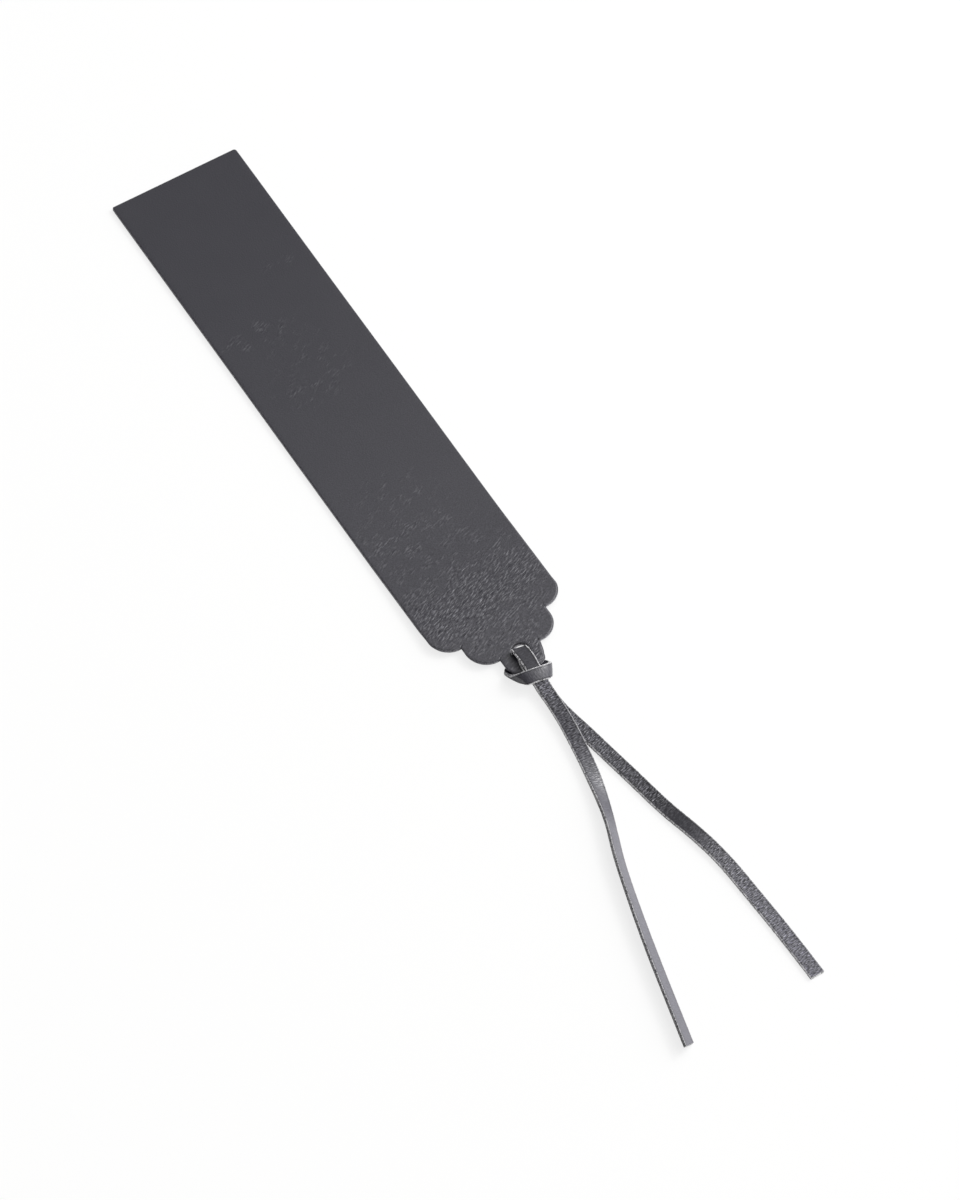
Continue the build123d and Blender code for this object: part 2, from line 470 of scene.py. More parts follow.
# %% Triangulate the panel
edge_insets = (0.06, 0.14, 0.25, 0.38)
inset_kept = 0.93
row_ratio = 0.866
edge_clearance = 0.45
within_edges = 1
weld_distance = 1e-6
hole_slack = 0.02


def unit(vectors):
    """Vectors scaled to length one."""
    return vectors / np.linalg.norm(vectors, axis=1, keepdims=True)


def inward(ring):
    """Unit normals of a ring of points, to the leather's side."""
    along = np.roll(ring, -1, axis=0) - np.roll(ring, 1, axis=0)
    return unit(np.stack([along[:, 1], -along[:, 0]], axis=1))


def field_points(spacing, margin):
    """Points over the leather in staggered rows along the creases, clear of its edges."""
    kept = []
    reach = panel_half_length + panel_half_width
    for step in (creased_step, faint_step, smooth_step, plain_step):
        rows = np.arange(-reach, reach, step * row_ratio)
        places = np.arange(-reach, reach, step)
        points = np.stack([np.tile(places, len(rows)), np.repeat(rows, len(places))], axis=1)
        points[:, 0] += np.repeat(np.arange(len(rows)) % 2, len(places)) * step / 2
        points = points[np.abs(points[:, 0]) < reach * crease_squeeze[0]]
        points = from_lattice(points)
        points = points[np.abs(points[:, 0]) < panel_half_width]
        points = points[np.abs(points[:, 1]) < panel_half_length]
        points = points[spacing(points) == step]
        points = points[inside(points, outline) & ~inside(points, hole_ring)]
        kept.append(points[edge_distance(points) > margin + edge_clearance * step])
    return np.concatenate(kept)


def fill(insets, spacing):
    """Triangles over the leather: its rings, rings inset from them and a field of points."""
    groups = [outline, hole_ring]
    for inset in insets:
        for ring in (outline, hole_ring):
            moved = ring + inward(ring) * inset
            groups.append(moved[edge_distance(moved) > inset_kept * inset])
    groups.append(field_points(spacing, insets[-1]))
    points = np.concatenate(groups)
    first = len(outline)
    edges = [(k, (k + 1) % first) for k in range(first)]
    edges += [(first + k, first + (k + 1) % len(hole_ring)) for k in range(len(hole_ring))]
    made, _, faces, sources, _, _ = geometry.delaunay_2d_cdt(
        [Vector(p) for p in to_lattice(points)], edges, [], within_edges, weld_distance)
    made = from_lattice(np.array([tuple(v) for v in made]))
    faces = np.array([f for f in faces if len(f) == 3])
    middle = made[faces].mean(axis=1)
    faces = faces[np.hypot(middle[:, 0] - hole_x, middle[:, 1] - hole_y) > hole_radius - hole_slack]
    where = {}
    for index, given in enumerate(sources):
        for source in given:
            where[source] = index
    rings = [np.array([where[k] for k in range(first)]),
             np.array([where[first + k] for k in range(len(hole_ring))])]
    corner = made[faces]
    side_a, side_b = corner[:, 1] - corner[:, 0], corner[:, 2] - corner[:, 0]
    turned = side_a[:, 0] * side_b[:, 1] - side_a[:, 1] * side_b[:, 0] < 0
    faces[turned] = faces[turned][:, ::-1]
    return made, faces, rings


face_fill = fill(edge_insets, creased_spacing)
plain_fill = fill(edge_insets[:2], lambda points: np.full(len(points), plain_step))
print("face points", len(face_fill[0]), "triangles", len(face_fill[1]), "plain", len(plain_fill[1]))

# %% [markdown]
# ## The two plies
# Each ply is a closed shell: an upper sheet, a lower sheet and walls between their rings. The face
# ply's upper edge is rolled over by the cutting die, and both plies are eased a little at the joint
# between them, which shows as a thin dark line on the cut edge. They were cut a little out of true:
# the back ply peeps out on the right of the scallops, and its hole is slipped towards the tip, so
# that its pale rim shows in the hole.

# %% Build the plies
joint_gap = 0.01
wall_rows = 4
cut_reach = 0.1
crease_margin = 0.8
slip_reach = 1.0
peep_start_y = -66.0
peep_reach = 6.0


def new_piece(name, verts, faces, values):
    """A smooth mesh object from points in millimetres, with an attribute for each set of values."""
    mesh = bpy.data.meshes.new(name)
    mesh.from_pydata((verts * MM).tolist(), [], faces)
    for attribute, data in values.items():
        layer = mesh.attributes.new(attribute, "FLOAT", "POINT")
        layer.data.foreach_set("value", np.asarray(data, np.float32))
    mesh.polygons.foreach_set("use_smooth", [True] * len(mesh.polygons))
    made = bpy.data.objects.new(name, mesh)
    scene.collection.objects.link(made)
    print(name, "vertices", len(verts), "faces", len(faces))
    return made


def round_drop(distance, radius):
    """How far a surface falls within a radius of its edge."""
    into = np.clip(radius - distance, 0, radius)
    return radius - np.sqrt(radius ** 2 - into ** 2)


def ply(name, low, high, low_radius, high_radius, upper, lower, slip=0.0, peep=0.0):
    """One ply as a closed mesh, with attributes cut and crease for its finish and its relief."""
    top, top_faces, top_rings = upper
    base, base_faces, base_rings = lower
    verts, cut = [], []
    for points, level, radius, sign in ((top, high, high_radius, -1), (base, low, low_radius, 1)):
        gap = edge_distance(points)
        lift = rise(points[:, 1]) + wave(points[:, 0], points[:, 1])
        verts.append(np.column_stack([points, level + lift + sign * round_drop(gap, radius)]))
        cut.append(np.clip(1 - gap / cut_reach, 0, 1))
    offset = len(top)
    faces = top_faces.tolist() + (base_faces[:, ::-1] + offset).tolist()
    count = len(top) + len(base)
    for top_ring, base_ring in zip(top_rings, base_rings):
        rows = [top_ring]
        for row in range(1, wall_rows):
            upper_edge, lower_edge = verts[0][top_ring], verts[1][base_ring]
            verts.append(upper_edge + (lower_edge - upper_edge) * (row / wall_rows))
            cut.append(np.ones(len(top_ring)))
            rows.append(np.arange(count, count + len(top_ring)))
            count += len(top_ring)
        rows.append(base_ring + offset)
        for above, below in zip(rows, rows[1:]):
            following, beneath = np.roll(above, -1), np.roll(below, -1)
            faces += np.stack([above, following, beneath, below], axis=1).tolist()
    verts = np.concatenate(verts)
    from_hole = np.hypot(verts[:, 0] - hole_x, verts[:, 1] - hole_y) - hole_radius
    verts[:, 1] -= slip * np.clip(1 - from_hole / slip_reach, 0, 1) * (verts[:, 1] > hole_y)
    verts[:, 0] += peep * np.clip((peep_start_y - verts[:, 1]) / peep_reach, 0, 1)
    creased = np.zeros(len(verts))
    creased[:len(top)] = crease_share(top[:, 0], top[:, 1])
    creased[:len(top)] *= np.clip(edge_distance(top) / crease_margin, 0, 1)
    return new_piece(name, verts, faces, {"cut": np.concatenate(cut), "crease": creased})


face_ply = ply("face_ply", ply_thickness + joint_gap, 2 * ply_thickness, low_radius=0.07,
               high_radius=0.22, upper=face_fill, lower=plain_fill)
back_ply = ply("back_ply", 0.0, ply_thickness - joint_gap, low_radius=0.12, high_radius=0.07,
               upper=plain_fill, lower=plain_fill, slip=0.5, peep=0.35)
back_ply.data.materials.append(back_finish)

# %% [markdown]
# ## Creases in the hide
# Where a hide was loose, plating presses it into short fine creases that run across the panel. They
# could be painted as bump alone, but then they vanish from the mesh. A geometry tree moves the face's
# points by stretched noise, as deep as the mesh's own crease attribute says. A second, larger noise
# gathers the creases in clusters.


# %% Crease tree
def new_tree(name, inputs, result):
    """A geometry tree with named inputs and one result, and the identifier of each input."""
    tree = bpy.data.node_groups.new(name, "GeometryNodeTree")
    keys = {}
    for label, kind in inputs.items():
        socket = tree.interface.new_socket(label, in_out="INPUT", socket_type="NodeSocket" + kind)
        keys[label] = socket.identifier
    tree.interface.new_socket(result, in_out="OUTPUT", socket_type="NodeSocketGeometry")
    return tree, keys


def end_tree(tree, shape, finish):
    """Ends a tree as the export needs it: instances made real and the finish on every face."""
    whole = add(tree, "GeometryNodeRealizeInstances", {0: shape})
    dressed = add(tree, "GeometryNodeSetMaterial", {"Geometry": whole, "Material": finish})
    add(tree, "NodeGroupOutput", {0: dressed})


crease_tree, crease_keys = new_tree("hide_creases", {
    "Hide": "Geometry", "Crease Depth": "Float", "Crease Width": "Float", "Crease Lean": "Float",
    "Finish": "Material"}, "Creased Hide")
print("crease tree takes", ", ".join(crease_keys))

# %% Folds of the hide
crease_stretch = (0.32, 1.0, 0.0)
crease_waver = 0.7
level_limit = 0.04
cluster_size = 2.6
cluster_stretch = (0.6, 1.0, 0.0)
cluster_start = 0.55
cluster_spread = -0.3
cluster_softness = 0.2
fold_base = 1.0
fold_gain = 1.6
full_from = 0.3
ridge_bias = 0.6
tree = crease_tree
given = add(tree, "NodeGroupInput").outputs
place = add(tree, "GeometryNodeInputPosition")
amount = add(tree, "GeometryNodeInputNamedAttribute", {"Name": "crease"})
turned = add(tree, "ShaderNodeVectorRotate", {"Vector": place, "Angle": given["Crease Lean"]},
             rotation_type="Z_AXIS")
stretched = add(tree, "ShaderNodeVectorMath", {0: turned, 1: crease_stretch}, operation="MULTIPLY")
fineness = add(tree, "ShaderNodeMath", {0: 1.0, 1: given["Crease Width"]}, operation="DIVIDE")
folds = add(tree, "ShaderNodeTexNoise", {
    "Vector": stretched, "Scale": fineness, "Detail": 0.0, "Distortion": crease_waver})
from_middle = add(tree, "ShaderNodeMath", {0: folds, 1: 0.5}, operation="SUBTRACT")
level_part = add(tree, "ShaderNodeClamp", {"Value": from_middle, "Min": -level_limit, "Max": level_limit})
folded = add(tree, "ShaderNodeMath", {0: from_middle, 1: level_part}, operation="SUBTRACT")
wide = add(tree, "ShaderNodeVectorMath", {0: turned, 1: cluster_stretch}, operation="MULTIPLY")
loose = add(tree, "ShaderNodeTexNoise", {"Vector": wide, "Scale": 1 / (cluster_size * MM), "Detail": 1.0})
least = add(tree, "ShaderNodeMath", {0: amount, 1: cluster_spread, 2: cluster_start},
            operation="MULTIPLY_ADD")
most = add(tree, "ShaderNodeMath", {0: least, 1: cluster_softness}, operation="ADD")
cluster = add(tree, "ShaderNodeMapRange", {"Value": loose, "From Min": least, "From Max": most})
strength = add(tree, "ShaderNodeMath", {0: amount, 1: fold_gain, 2: fold_base}, operation="MULTIPLY_ADD")
strength = add(tree, "ShaderNodeMath", {0: strength, 1: cluster}, operation="MULTIPLY")
fading = add(tree, "ShaderNodeMapRange", {"Value": amount, "From Min": faint_from, "From Max": full_from})
strength = add(tree, "ShaderNodeMath", {0: strength, 1: fading}, operation="MULTIPLY")
shape = add(tree, "ShaderNodeMath", {0: folded, 1: strength}, operation="MULTIPLY")
size = add(tree, "ShaderNodeMath", {0: shape}, operation="ABSOLUTE")
raised = add(tree, "ShaderNodeMath", {0: size, 1: ridge_bias, 2: shape}, operation="MULTIPLY_ADD")
height = add(tree, "ShaderNodeMath", {0: raised, 1: given["Crease Depth"]}, operation="MULTIPLY")
shift = add(tree, "ShaderNodeCombineXYZ", {"Z": height})
noted = add(tree, "GeometryNodeStoreNamedAttribute", {
    "Geometry": given["Hide"], "Name": "relief", "Value": raised})
moved = add(tree, "GeometryNodeSetPosition", {"Geometry": noted, "Offset": shift})
end_tree(tree, moved, given["Finish"])
print("crease tree nodes", len(tree.nodes))


# %% Crease the face
def run_tree(piece, tree, keys, values):
    """Runs a geometry tree on a piece with its named inputs, and keeps the result as its plain mesh."""
    modifier = piece.modifiers.new(tree.name, "NODES")
    modifier.node_group = tree
    for label, value in values.items():
        modifier[keys[label]] = value
    depsgraph = bpy.context.evaluated_depsgraph_get()
    mesh = bpy.data.meshes.new_from_object(
        piece.evaluated_get(depsgraph), preserve_all_data_layers=True, depsgraph=depsgraph)
    piece.modifiers.remove(modifier)
    piece.data = mesh
    mesh.name = piece.name
    print(piece.name, "after", tree.name, "triangles", sum(len(p.vertices) - 2 for p in mesh.polygons))


# Real creases are about 0.2 mm wide. They are drawn at 0.4 mm, as coarse as they need to be to show.
run_tree(face_ply, crease_tree, crease_keys, {
    "Crease Depth": 0.05 * MM, "Crease Width": 0.4 * MM, "Crease Lean": -crease_lean,
    "Finish": face_finish})

# %% [markdown]
# ## Lines for the lace
# A lace lies along smooth lines. Each route is a NURBS spline with given control points, and its
# points are read back from a curve with no bevel. The two tails repeat the CAD routes, moved a little
# where the photograph shows the left tail standing on its edge.

# %% Smooth lines
line_resolution = 24


def smooth_line(points):
    """Points, in millimetres, along a NURBS spline with these control points."""
    curve = bpy.data.curves.new("line", "CURVE")
    curve.dimensions = "3D"
    curve.resolution_u = line_resolution
    spline = curve.splines.new("NURBS")
    spline.points.add(len(points) - 1)
    for point, place in zip(spline.points, points):
        point.co = (*(value * MM for value in place), 1.0)
    spline.order_u = 3
    spline.use_endpoint_u = True
    holder = bpy.data.objects.new("line", curve)
    scene.collection.objects.link(holder)
    mesh = bpy.data.meshes.new_from_object(holder)
    line = np.array([v.co[:] for v in mesh.vertices]) / MM
    bpy.data.objects.remove(holder)
    bpy.data.meshes.remove(mesh)
    bpy.data.curves.remove(curve)
    return line


def length_of(line):
    """Length of a line through points."""
    return float(np.linalg.norm(np.diff(line, axis=0), axis=1).sum())


def evenly(lines, step):
    """The same lines at even steps of the first one's length, and that length at each point."""
    runs = np.linalg.norm(np.diff(lines[0], axis=0), axis=1)
    along = np.concatenate([[0], np.cumsum(runs)])
    wanted = np.linspace(0, along[-1], max(2, round(along[-1] / step)) + 1)
    return [np.stack([np.interp(wanted, along, line[:, k]) for k in range(line.shape[1])], axis=1)
            for line in lines], wanted


left_route = [
    (-0.6, -94.6, 3.15), (-0.65, -96.0, 2.55), (-0.7, -97.5, 2.15), (-0.75, -99.8, 1.9),
    (-0.75, -103.8, 1.7), (-1.1, -109.5, 1.55), (-2.0, -116.5, 1.45), (-3.2, -124.5, 1.25),
    (-5.2, -133.5, 1.2), (-7.7, -142.0, 1.65), (-11.5, -152.0, 1.85), (-14.6, -163.0, 1.8),
    (-18.5, -178.0, 1.75), (-22.0, -193.0, 1.75), (-25.4, -208.0, 1.75),
]
right_route = [
    (-0.55, -94.6, 2.2), (-0.5, -96.0, 1.6), (-0.5, -97.5, 1.2), (-0.45, -99.8, 0.95),
    (-0.35, -102.8, 0.75), (0.2, -107.2, 0.6), (1.6, -113.5, 0.5), (3.2, -122.5, 0.5),
    (5.2, -133.5, 0.5), (7.0, -144.5, 0.55), (9.8, -155.5, 0.9), (11.7, -166.0, 0.7),
    (12.4, -178.0, 0.5), (13.2, -192.0, 0.55), (13.5, -206.7, 0.55),
]
left_line = smooth_line(left_route)
right_line = smooth_line(right_route)
print("tail lines", round(length_of(left_line), 1), "and", round(length_of(right_line), 1), "mm")

# %% [markdown]
# ## A strip of lace
# A bevelled curve could be flattened, but it would not keep crisp cut edges or let the strip roll on
# its own axis. So each strip is a row of cross sections: a flat rounded section, turned to face where
# the lace faces. It carries how far along and across each point lies, and where the leather is cut.

# %% Section of the lace
lace_width = 4.1
lace_thickness = 0.9
corner_radius = 0.18
face_columns = 16
wall_columns = 4
rim_paleness = 0.4
# Angle round the corner, how much of an edge it is there, and how raw: palest above as painted highlight
upper_bend = [(0.5, 0.5, 1.0), (1.1, 0.86, 1.0)]
lower_bend = [(0.5, 0.7, 0.7), (1.1, 0.46, 0.46)]


def section():
    """The lace's cross section as points: across, up, how much of an edge it is, how raw, painted shade.
    """
    r = corner_radius
    half_w, half_t = lace_width / 2, lace_thickness / 2
    flat, upright = half_w - r, half_t - r
    top = [[x, half_t, 0.0, 0.0, 0.0] for x in np.linspace(-flat, flat, face_columns)]
    # Painted highlight: the rim of the face is made partly raw, so paler. Painted shadow: the column
    # beside it carries a dark line.
    for rim, beside in ((0, 1), (-1, -2)):
        top[rim][3] = rim_paleness
        top[beside][4] = -1.0
    right = [[flat + r * math.sin(t), upright + r * math.cos(t), edge, raw, 0.0]
             for t, edge, raw in upper_bend]
    right += [[half_w, y, 1.0, 1.0, 0.0] for y in np.linspace(upright, -upright, wall_columns)]
    right += [[flat + r * math.cos(t), -upright - r * math.sin(t), edge, raw, 0.0]
              for t, edge, raw in lower_bend]
    base = [[x, -half_t, 0.0, 0.0, 0.0] for x in np.linspace(flat, -flat, face_columns // 2)]
    left = [[-point[0], *point[1:]] for point in reversed(right)]
    return np.array(top + right + base + left)


print("points in a section of the lace", len(section()))

# %% Strip of lace
strip_step = 0.1
end_inset = 0.94


def strip(name, centre, across, normal, along, width, grain, raw_sides, painted_light, rim=0.4, crown=0.0,
          shade=0.0, side=1.0):
    """A closed strip of lace through sections, each with a centre, a direction across and a normal.

    For all sections or for each: the depth of its grain, how pale its two edges are (raw fibres, with
    painted shade where an edge turns from the light), the painted highlight and shade on its face and
    the painted shade on its second wall. For all: how dark the painted shadow line inside each edge is
    (rim), how far its face bulges (crown) and how pale its raw walls are below their corners (side).
    """
    profile = section()
    columns = len(profile)
    share = profile[:, 0] / (lace_width / 2)
    bulge = crown * (1 - share ** 2)
    out = share[None, :, None] * np.asarray(width)[:, None, None] / 2
    up = (profile[:, 1] + bulge)[None, :, None]
    verts = centre[:, None] + across[:, None] * out + normal[:, None] * up
    rings = len(centre)
    raw = np.stack([np.broadcast_to(value, rings) for value in raw_sides], axis=1)
    rows = np.arange(rings * columns).reshape(rings, columns)
    faces = []
    for lower, upper in zip(rows, rows[1:]):
        faces += np.stack([lower, upper, np.roll(upper, -1), np.roll(lower, -1)], axis=1).tolist()
    values = {
        "along": np.repeat(along, columns) * MM,
        "across": np.tile(profile[:, 0], rings) * MM,
        "edge": np.tile(profile[:, 2], rings),
        "cut": (profile[:, 3] * np.where(profile[:, 2] < 1, 1.0, side)
                * np.where(share < 0, raw[:, :1], raw[:, 1:])).ravel(),
        "painted_light": (np.broadcast_to(painted_light, rings)[:, None] + profile[:, 4] * rim
                 - np.broadcast_to(shade, rings)[:, None] * profile[:, 2] * (share > 0)).ravel(),
        "grain": np.repeat(np.broadcast_to(grain, rings), columns),
    }
    verts = verts.reshape(-1, 3)
    for ring, order in ((0, -1), (rings - 1, 1)):
        first = len(verts)
        middle = verts[rows[ring]].mean(axis=0)
        inset = middle + (verts[rows[ring]] - middle) * end_inset
        verts = np.concatenate([verts, inset, middle[None]])
        ends = {"along": along[ring] * MM, "across": 0.0, "edge": 1.0, "cut": raw[ring].max(),
                "painted_light": 0.0, "grain": 0.0}
        for key, end_value in ends.items():
            values[key] = np.concatenate([values[key], np.full(columns + 1, end_value)])
        inner = np.arange(first, first + columns)
        quads = np.stack([rows[ring], inner, np.roll(inner, -1), np.roll(rows[ring], -1)], axis=1)
        tris = np.stack([inner, np.full(columns, first + columns), np.roll(inner, -1)], axis=1)
        faces += quads[:, ::order].tolist() + tris[:, ::order].tolist()
    return new_piece(name, verts, faces, values)


print("sections of a strip", strip_step, "mm apart")

# %% [markdown]
# ## The two tails
# The right tail lies flat. The left one lies on it at first, then rolls until it stands on its right
# edge with its face to the right, as a lace does that was bent the other way, and its end was cut on
# the slant. The roll and the looks are tables: places along y, and the values there.

# %% Tails
skew_reach = 4.0
tail_wall = 0.6
# Painted highlight where the left tail rolls its face towards the light, and painted shade on its left
# edge and its second wall, which turn away from it.
left_looks = {
    "roll": ([-94, -112, -120, -127, -133, -138, -143, -160, -180, -208.5],
             [0, 0, 4, 14, 32, 44, 52, 52, 47, 46]),
    "grain": ([-94, -98, -104, -118, -124, -134, -208], [2.0, 2.0, 1.3, 1.2, 0.8, 0.3, 0.3]),
    "pale_left": ([-94, -100, -125, -135, -208], [1.0, 0.8, 0.7, 0.45, 0.45]),
    "pale_right": ([-94, -208], [0.5, 0.35]),
    "painted_light": ([-94, -98, -104, -112, -124, -134, -145, -208],
             [0.1, 0.1, -0.1, -0.1, 0.0, 0.25, 0.5, 0.45]),
    "shade": ([-94, -124, -134, -208], [0.0, 0.0, 1.0, 1.0]),
}
# Painted shade on the right tail's middle and painted highlight towards its end.
right_looks = {
    "roll": ([-94, -120, -150, -165, -208], [0, 3, 0, 4, 0]),
    "grain": ([-94, -142, -148, -154, -160, -208], [1.4, 1.4, 0.5, 0.5, 1.4, 1.4]),
    "pale_left": ([-94], [0.8]),
    "pale_right": ([-94], [0.4]),
    "painted_light": ([-94, -112, -130, -143, -150, -158, -170, -190, -207],
             [0.0, -0.05, -0.1, -0.3, -0.35, -0.1, 0.15, 0.3, 0.35]),
    "shade": ([-94], [0.0]),
}


def tail(name, line, looks, end_skew=0.0):
    """A tail of lace along a line, with its roll in degrees and its looks at places along the part."""
    (centre,), along = evenly([line], strip_step)
    here = {look: np.interp(-centre[:, 1], -np.array(places), values)
            for look, (places, values) in looks.items()}
    tangent = unit(np.gradient(centre, axis=0))
    across = unit(np.cross(tangent, (0.0, 0.0, 1.0)))
    normal = np.cross(across, tangent)
    angle = np.radians(here["roll"])[:, None]
    rolled = across * np.cos(angle) + normal * np.sin(angle)
    facing = normal * np.cos(angle) - across * np.sin(angle)
    near_end = np.clip((along - along[-1]) / skew_reach + 1, 0, 1)[:, None]
    rolled = rolled + tangent * near_end * end_skew / lace_width
    made = strip(name, centre, rolled, facing, along, np.full(len(centre), lace_width),
                 grain=here["grain"], raw_sides=(here["pale_right"], here["pale_left"]),
                 painted_light=here["painted_light"], shade=here["shade"], side=tail_wall)
    return made, centre


left_lace, left_path = tail("left_tail_lace", left_line, left_looks, end_skew=2.0)
right_lace, right_path = tail("right_tail_lace", right_line, right_looks)

# %% [markdown]
# ## The two strands on the tab
# Both strands come up from under the band, lie on each other on the tab and turn down into the hole.
# The outer one goes on down the back. A line down the middle and the direction across are enough,
# since the strip is nearly straight seen from above.

# %% Strands
# Painted shade: the strands are darkened all over, with a painted shadow line inside each edge, and their
# walls are less pale than the corners above them.
strand_wall = 0.75
strand_rim = 0.7
strand_grain = 0.25
strand_painted_shade = -0.2
outer_points = [
    (-0.6, -94.6, 3.15), (-0.6, -93.6, 3.55), (-0.56, -92.4, 3.74), (-0.42, -90.5, 3.8),
    (-0.3, -88.2, 3.8), (-0.45, -86.3, 3.76), (-0.55, -85.3, 3.7), (-0.55, -85.28, 2.7),
    (-0.5, -85.3, 1.4), (-0.4, -85.5, 0.45), (-0.3, -86.4, 0.45), (-0.3, -88.5, 0.45),
    (-0.3, -91.5, 0.45),
]
outer_widths = (3.9, 3.95, 4.15, 4.15, 4.1, 3.5, 3.6, 3.9)
outer_turns = (0, -2, -5, -12, -14, -6, 0, 0)
inner_points = [
    (-0.75, -94.6, 2.2), (-0.8, -93.6, 2.6), (-0.85, -92.4, 2.8), (-0.8, -90.5, 2.8),
    (-0.65, -88.0, 2.78), (-0.5, -87.3, 2.76), (-0.3, -86.52, 2.7), (-0.2, -86.5, 2.3),
    (-0.2, -86.5, 1.75),
]
inner_widths = (4.1, 4.1, 4.05, 3.9, 3.0, 2.5)
inner_turns = (0, 0, -2, -4, -6)


def strand(name, points, widths, turns):
    """A strand up the tab, level across, with its width and its turn in degrees at even places."""
    (centre,), along = evenly([smooth_line(points)], strip_step)
    tangent = unit(np.gradient(centre, axis=0))
    share = along / along[-1]
    turn = np.radians(np.interp(share, np.linspace(0, 1, len(turns)), turns))
    across = np.stack([np.cos(turn), np.sin(turn), np.zeros_like(turn)], axis=1)
    across = unit(across - tangent * (across * tangent).sum(axis=1, keepdims=True))
    normal = np.cross(across, tangent)
    width = np.interp(share, np.linspace(0, 1, len(widths)), widths)
    return strip(name, centre, across, normal, along, width, grain=strand_grain, raw_sides=(1.0, 1.0),
                 painted_light=strand_painted_shade, rim=strand_rim, side=strand_wall)


outer_strand = strand("outer_strand", outer_points, outer_widths, outer_turns)
inner_strand = strand("inner_strand", inner_points, inner_widths, inner_turns)

# %% [markdown]
# ## The band
# The bight comes from behind the tab on both sides and crosses the strands as a band. It is easiest
# to think of as two rails, its upper and its lower edge, with the strip stretched between them.

# %% Band
band_upper = [
    (-1.4, -86.3, 0.45), (-3.6, -86.6, 0.45), (-5.6, -86.9, 0.45), (-6.5, -87.7, 0.45),
    (-6.85, -89.2, 1.65), (-6.65, -90.9, 3.0), (-5.6, -92.0, 4.05), (-4.7, -92.35, 4.6),
    (-3.5, -92.7, 4.9), (-1.7, -93.05, 5.0), (0.5, -93.3, 4.95), (2.3, -93.4, 4.6),
    (3.7, -93.1, 3.9), (4.6, -92.5, 2.9), (4.85, -91.3, 1.7), (4.75, -90.3, 0.45),
    (2.9, -89.2, 0.4), (1.0, -87.4, 0.45),
]
band_lower = [
    (0.4, -89.6, 0.45), (-1.7, -90.2, 0.45), (-3.5, -90.6, 0.45), (-4.5, -91.2, 0.5),
    (-4.8, -92.2, 0.9), (-4.75, -93.3, 1.6), (-4.5, -94.5, 2.5), (-4.35, -95.7, 3.1),
    (-3.9, -96.2, 3.4), (-1.8, -96.5, 3.6), (0.1, -96.7, 3.25), (1.65, -96.65, 2.6),
    (2.55, -96.1, 1.85), (2.9, -95.5, 1.2), (2.8, -94.8, 0.75), (2.2, -93.8, 0.45),
    (1.0, -92.6, 0.45), (-0.8, -90.6, 0.45),
]
rails = [smooth_line(band_upper), smooth_line(band_lower)]
(upper_rail, lower_rail), band_along = evenly(rails, strip_step)
band_middle = (upper_rail + lower_rail) / 2
band_across = unit(lower_rail - upper_rail)
band_tangent = unit(np.gradient(band_middle, axis=0))
band_normal = unit(np.cross(band_across, band_tangent))
band_width = np.linalg.norm(lower_rail - upper_rail, axis=1)
# Painted highlight: the band's face is paler towards the right, which faces the light. Its upper edge is
# less pale towards its left end.
band_edge_pale = np.interp(band_middle[:, 0], [-6.0, -4.0, -2.0], [0.35, 0.5, 0.8])
band_painted_highlight = np.interp(band_middle[:, 0], [0.0, 2.5], [0.0, 0.12])
band = strip("bight_band", band_middle, band_across, band_normal, band_along, band_width, grain=0.3,
             raw_sides=(band_edge_pale, 1.0), painted_light=band_painted_highlight, crown=0.12)
print("band width", round(float(band_width.min()), 2), "to", round(float(band_width.max()), 2), "mm")

# %% [markdown]
# ## Grain and fibres of the lace
# The lace's grain is pebbled and drawn into ribs across it, and loose fibres stand out of its raw
# edges. Both repeat along a path, so one geometry tree makes them: noise in the strip's own along
# and across moves its points, and short tapered fibres are scattered over the cut faces.

# %% Ribs of the lace
rib_stretch = (0.22, 1.0, 0.0)
rib_waver = 0.4
rib_contrast = 2.6
raw_size = 0.45
lace_tree, lace_keys = new_tree("lace_grain", {
    "Lace": "Geometry", "Rib Spacing": "Float", "Rib Depth": "Float", "Raw Edge Depth": "Float",
    "Fibre Length": "Float", "Fibre Density": "Float", "Fibre Seed": "Int", "Finish": "Material"},
    "Grained Lace")
tree = lace_tree
given = add(tree, "NodeGroupInput").outputs
read = {name: add(tree, "GeometryNodeInputNamedAttribute", {"Name": name})
        for name in ("along", "across", "edge", "grain", "painted_light")}
face_place = add(tree, "ShaderNodeCombineXYZ", {"X": read["across"], "Y": read["along"]})
stretched = add(tree, "ShaderNodeVectorMath", {0: face_place, 1: rib_stretch}, operation="MULTIPLY")
fineness = add(tree, "ShaderNodeMath", {0: 1.0, 1: given["Rib Spacing"]}, operation="DIVIDE")
ribs = add(tree, "ShaderNodeTexNoise", {
    "Vector": stretched, "Scale": fineness, "Detail": 1.0, "Distortion": rib_waver})
ribbed = add(tree, "ShaderNodeMath", {0: ribs, 1: 0.5}, operation="SUBTRACT")
ribbed = add(tree, "ShaderNodeMath", {0: ribbed, 1: read["grain"]}, operation="MULTIPLY")
rib_height = add(tree, "ShaderNodeMath", {0: ribbed, 1: given["Rib Depth"]}, operation="MULTIPLY")
face_part = add(tree, "ShaderNodeMath", {0: rib_contrast, 1: read["edge"]}, operation="SUBTRACT")
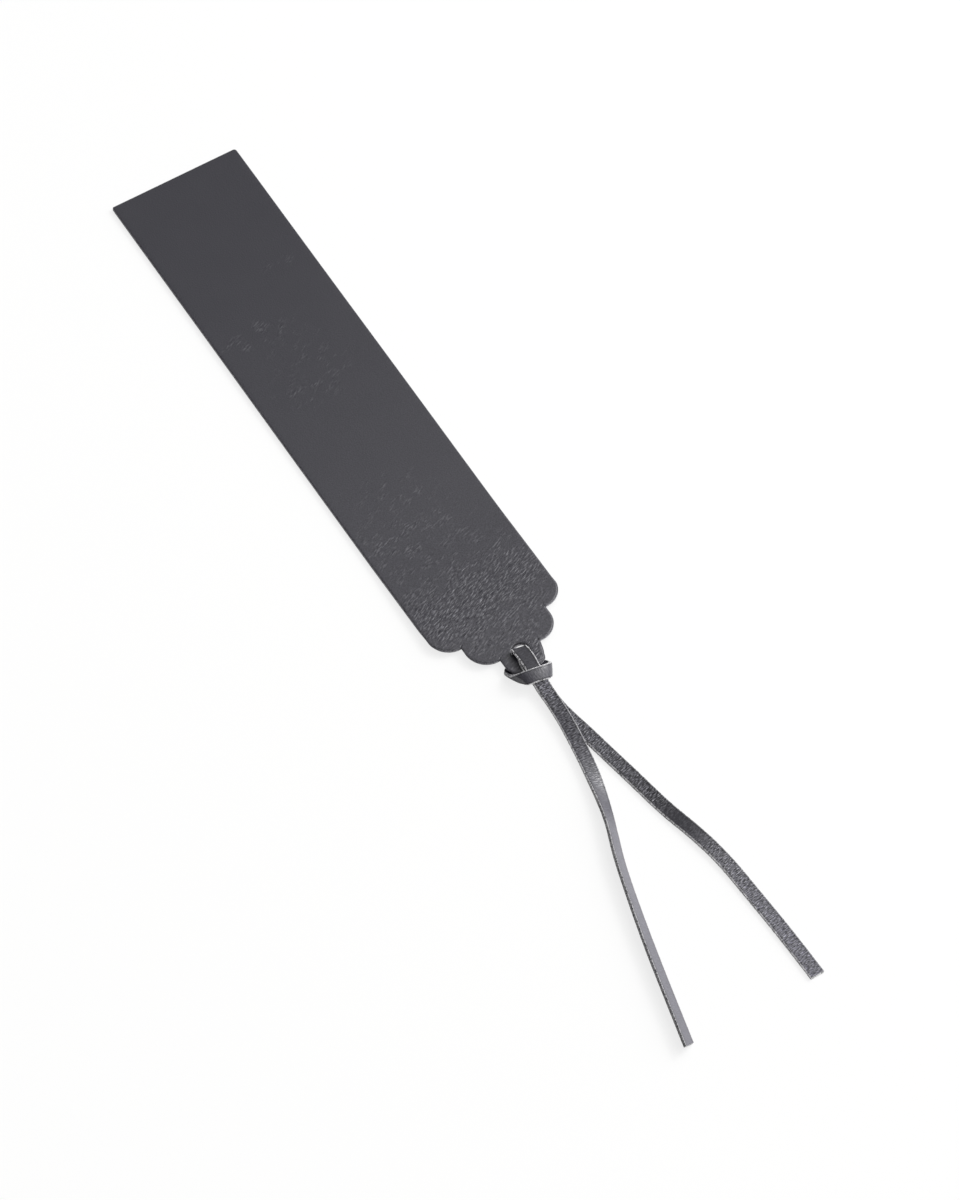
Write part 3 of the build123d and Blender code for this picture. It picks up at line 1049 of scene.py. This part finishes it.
# The relief also carries the painted highlight and shade laid along each piece.
relief = add(tree, "ShaderNodeMath", {0: ribbed, 1: face_part, 2: read["painted_light"]}, operation="MULTIPLY_ADD")
noted = add(tree, "GeometryNodeStoreNamedAttribute", {
    "Geometry": given["Lace"], "Name": "relief", "Value": relief})
place = add(tree, "GeometryNodeInputPosition")
rough = add(tree, "ShaderNodeTexNoise", {"Vector": place, "Scale": 1 / (raw_size * MM), "Detail": 3.0})
frayed = add(tree, "ShaderNodeMath", {0: rough, 1: 0.5}, operation="SUBTRACT")
raw_height = add(tree, "ShaderNodeMath", {0: frayed, 1: given["Raw Edge Depth"]}, operation="MULTIPLY")
height = add(tree, "ShaderNodeMix", {"Factor": read["edge"], "A": rib_height, "B": raw_height})
normal = add(tree, "GeometryNodeInputNormal")
shift = add(tree, "ShaderNodeVectorMath", {0: normal, "Scale": height}, operation="SCALE")
grained = add(tree, "GeometryNodeSetPosition", {"Geometry": noted, "Offset": shift})
print("lace tree takes", ", ".join(lace_keys))

# %% Fibres of the lace
# Real fibres are about 0.02 mm thick. They are drawn at 0.07 mm, as coarse as they need to be to show.
cut_from = 0.8
fibre_radius = 0.035
fibre_lean = 0.9
fibre_turn = 3.0
fibre_scales = (0.4, 1.2)
is_cut = add(tree, "FunctionNodeCompare", {0: read["edge"], 1: cut_from}, operation="GREATER_THAN")
roots = add(tree, "GeometryNodeDistributePointsOnFaces", {
    "Mesh": grained, "Selection": is_cut, "Density": given["Fibre Density"], "Seed": given["Fibre Seed"]})
fibre = add(tree, "GeometryNodeMeshCone", {
    "Vertices": 3, "Radius Top": 0.0, "Radius Bottom": fibre_radius * MM, "Depth": given["Fibre Length"]},
    fill_type="NONE")
bristle = add(tree, "FunctionNodeRandomValue", {
    "Min": (-fibre_lean, -fibre_lean, 0.0), "Max": (fibre_lean, fibre_lean, fibre_turn),
    "Seed": given["Fibre Seed"]}, data_type="FLOAT_VECTOR")
leaning = add(tree, "FunctionNodeRotateRotation", {
    "Rotation": roots.outputs["Rotation"], "Rotate By": bristle}, rotation_space="LOCAL")
longer = add(tree, "FunctionNodeRandomValue", {
    2: fibre_scales[0], 3: fibre_scales[1], "Seed": given["Fibre Seed"]})
fibres = add(tree, "GeometryNodeInstanceOnPoints", {
    "Points": roots.outputs["Points"], "Instance": fibre, "Rotation": leaning,
    "Scale": longer.outputs[1]})
joined = add(tree, "GeometryNodeJoinGeometry")
tree.links.new(fibres.outputs[0], joined.inputs[0])
tree.links.new(grained.outputs[0], joined.inputs[0])
end_tree(tree, joined, given["Finish"])
print("lace tree nodes", len(tree.nodes))

# %% Grain the lace
first_seed = 3
lace_sizes = {
    "Rib Spacing": 0.23 * MM, "Rib Depth": 0.24 * MM, "Raw Edge Depth": 0.26 * MM,
    "Fibre Length": 0.26 * MM, "Fibre Density": 7 / MM ** 2, "Finish": lace_finish}
for seed, piece in enumerate([left_lace, right_lace, outer_strand, inner_strand, band], first_seed):
    run_tree(piece, lace_tree, lace_keys, {**lace_sizes, "Fibre Seed": seed})

# %% [markdown]
# ## Ride on the frame
# Each piece stands for its CAD solids, which are hidden. The plies, the strands and the band move
# with their body, and the two tails stay where they lie.

# %% Ride on the frame
for piece, node, body, slot in (
    (face_ply, "face_leather", "panel", "face_leather"),
    (back_ply, "back_leather", "panel", "back_leather"),
    (outer_strand, "lace_loop", "knot", "lace_leather"),
    (inner_strand, "lace_under", "knot", "lace_leather"),
    (band, "lace_knot", "knot", "lace_leather"),
):
    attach(piece, body)
    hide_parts(node)
for piece, node, path in ((left_lace, "left_tail", left_path), (right_lace, "right_tail", right_path)):
    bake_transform(piece)
    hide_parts(node)
